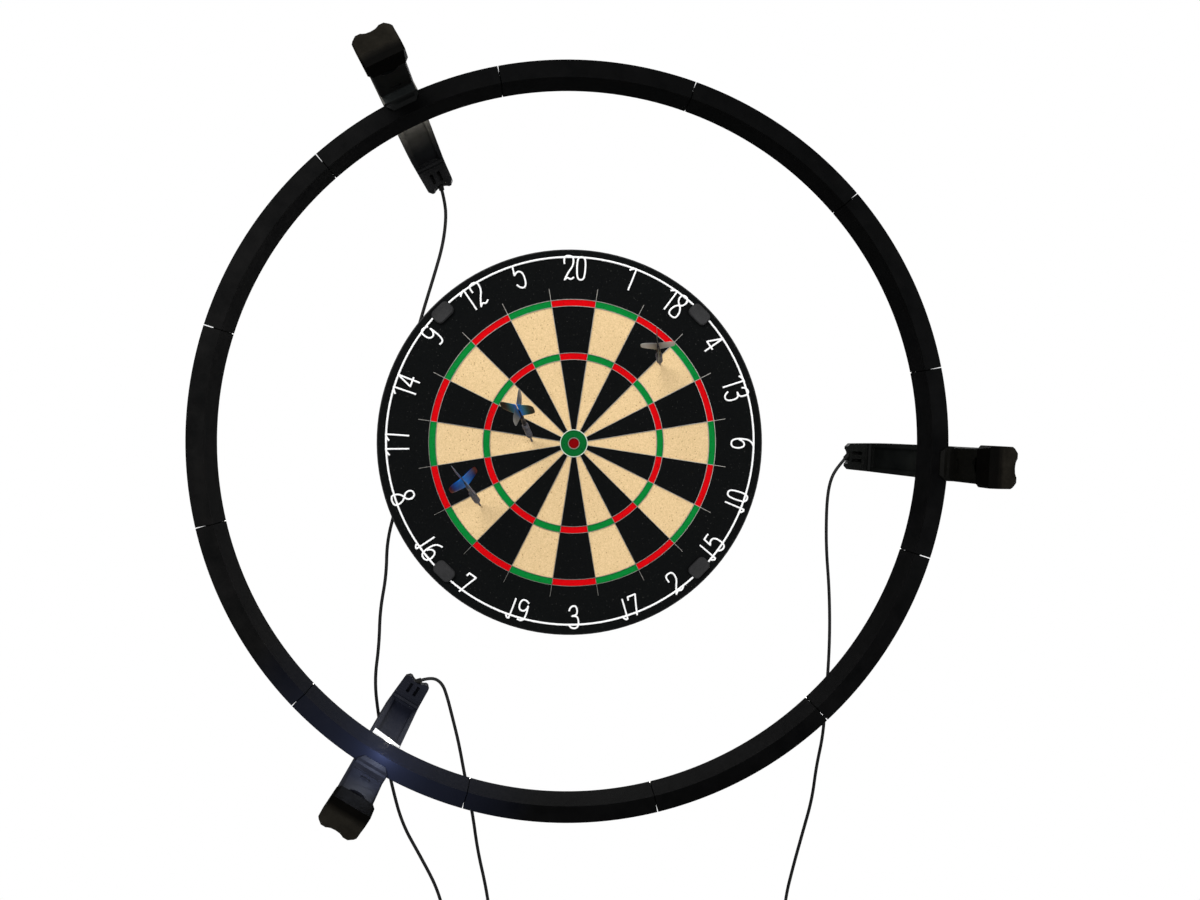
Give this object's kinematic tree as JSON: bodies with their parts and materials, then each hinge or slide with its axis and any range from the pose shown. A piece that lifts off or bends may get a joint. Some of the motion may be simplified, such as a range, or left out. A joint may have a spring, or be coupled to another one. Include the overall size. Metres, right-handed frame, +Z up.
{
  "type": "dartboard with camera scoring ring",
  "caption": "Wall-hung bristle dartboard inside a segmented light ring carried by camera arms, with darts in the board, a lift-off number ring and hanging cables",
  "frame": {"origin": "On the wall on the board's axis: the centre of the wall bracket's back face", "axes": "X right and Z up as seen from the room, -Y out from the wall into the room; the wall is the plane Y = 0"},
  "size_m": [0.8432, 0.255, 1.1335],
  "materials": {
    "zinc_steel": "zinc plated, satin",
    "black_rubber": "matt",
    "backing_board": "raw fibre board",
    "sisal": "compressed bristle ends, dyed black, cream, red and green",
    "black_band": "satin black",
    "spider_wire": "bright drawn wire",
    "white_wire": "white enamel",
    "grey_plastic": "moulded, matt",
    "dart_metal": "turned, satin",
    "flight_teal": "thin film vanes, dark stem",
    "flight_blue": "thin film vanes, dark stem",
    "flight_pale": "thin film vanes, pale stem",
    "printed_black": "layered print, matt",
    "printed_arm": "layered print, slight sheen",
    "strip_base": "white coated film",
    "light_chip": "white light chips, lit",
    "circuit_board": "green solder mask",
    "lens_black": "anodised black with coated glass",
    "steel_screw": "plain",
    "cable_black": "flexible sheath, matt",
    "adhesive_pad": "double-sided foam pad"
  },
  "bodies": {
    "base": {"wall_bracket": "zinc_steel", "ring_segment_01": "printed_black", "ring_segment_02": "printed_black", "ring_segment_03": "printed_black", "ring_segment_04": "printed_black", "ring_segment_05": "printed_black", "ring_segment_06": "printed_black", "ring_segment_07": "printed_black", "ring_segment_08": "printed_black", "ring_segment_09": "printed_black", "ring_segment_10": "printed_black", "ring_segment_11": "printed_black", "ring_segment_12": "printed_black", "led_strip": "strip_base", "led_chips": "light_chip", "arm_post_a": "printed_arm", "ring_hook_a": "printed_arm", "camera_housing_a": "printed_arm", "camera_board_a": "circuit_board", "cable_a": "cable_black", "cable_coil_a": "cable_black", "usb_plug_a": "cable_black", "arm_post_b": "printed_arm", "ring_hook_b": "printed_arm", "camera_housing_b": "printed_arm", "camera_board_b": "circuit_board", "cable_b": "cable_black", "cable_coil_b": "cable_black", "usb_plug_b": "cable_black", "arm_post_c": "printed_arm", "ring_hook_c": "printed_arm", "camera_housing_c": "printed_arm", "camera_board_c": "circuit_board", "cable_c": "cable_black", "cable_coil_c": "cable_black", "usb_plug_c": "cable_black", "hook_screws": "steel_screw", "cable_sleeves": "black_rubber", "adhesive_pads": "adhesive_pad"},
    "board": {"sisal_core": "sisal", "backboard": "backing_board", "board_band": "black_band", "spider": "spider_wire", "bull_wires": "spider_wire", "centre_bolt": "zinc_steel", "levelling_feet": "black_rubber"},
    "number_ring": {"number_ring": "white_wire", "number_ring_clips": "grey_plastic"},
    "dart_1": {"dart_1_barrel": "dart_metal", "dart_1_flight": "flight_teal"},
    "dart_2": {"dart_2_barrel": "dart_metal", "dart_2_flight": "flight_blue"},
    "dart_3": {"dart_3_barrel": "dart_metal", "dart_3_flight": "flight_pale"},
    "hood_a": {"camera_hood_a": "printed_arm"},
    "lens_a": {"camera_lens_a": "lens_black"},
    "hood_b": {"camera_hood_b": "printed_arm"},
    "lens_b": {"camera_lens_b": "lens_black"},
    "hood_c": {"camera_hood_c": "printed_arm"},
    "lens_c": {"camera_lens_c": "lens_black"}
  },
  "joints": [
    {"name": "board_turn", "type": "hinge", "parent": "base", "child": "board", "pos_m": [0, 0, 0], "axis": [0, -1, 0], "continuous": true},
    {"name": "number_ring_lift", "type": "slide", "parent": "board", "child": "number_ring", "axis": [0, -1, 0], "range_m": [0, 0.03]},
    {"name": "dart_1_pull", "type": "slide", "parent": "board", "child": "dart_1", "axis": [-0.1153, -0.9524, 0.2821], "range_m": [0, 0.08]},
    {"name": "dart_2_pull", "type": "slide", "parent": "board", "child": "dart_2", "axis": [-0.0769, -0.956, 0.2832], "range_m": [0, 0.08]},
    {"name": "dart_3_pull", "type": "slide", "parent": "board", "child": "dart_3", "axis": [-0.1593, -0.9835, 0.086], "range_m": [0, 0.08]},
    {"name": "hood_a_pull", "type": "slide", "parent": "base", "child": "hood_a", "axis": [-0.0396, -0.9962, 0.0777], "range_m": [0, 0.035]},
    {"name": "hood_b_pull", "type": "slide", "parent": "base", "child": "hood_b", "axis": [0.087, -0.9962, -0.0046], "range_m": [0, 0.035]},
    {"name": "hood_c_pull", "type": "slide", "parent": "base", "child": "hood_c", "axis": [-0.0475, -0.9962, -0.0731], "range_m": [0, 0.035]},
    {"name": "lens_a_focus", "type": "hinge", "parent": "base", "child": "lens_a", "pos_m": [-0.18827, -0.229, 0.3695], "axis": [0.4172, 0.3943, -0.8188], "range_deg": [-180, 180]},
    {"name": "lens_b_focus", "type": "hinge", "parent": "base", "child": "lens_b", "pos_m": [0.41074, -0.229, -0.02153], "axis": [-0.9177, 0.3943, 0.0481], "range_deg": [-180, 180]},
    {"name": "lens_c_focus", "type": "hinge", "parent": "base", "child": "lens_c", "pos_m": [-0.2251, -0.229, -0.34662], "axis": [0.5005, 0.3943, 0.7707], "range_deg": [-180, 180]}
  ]
}
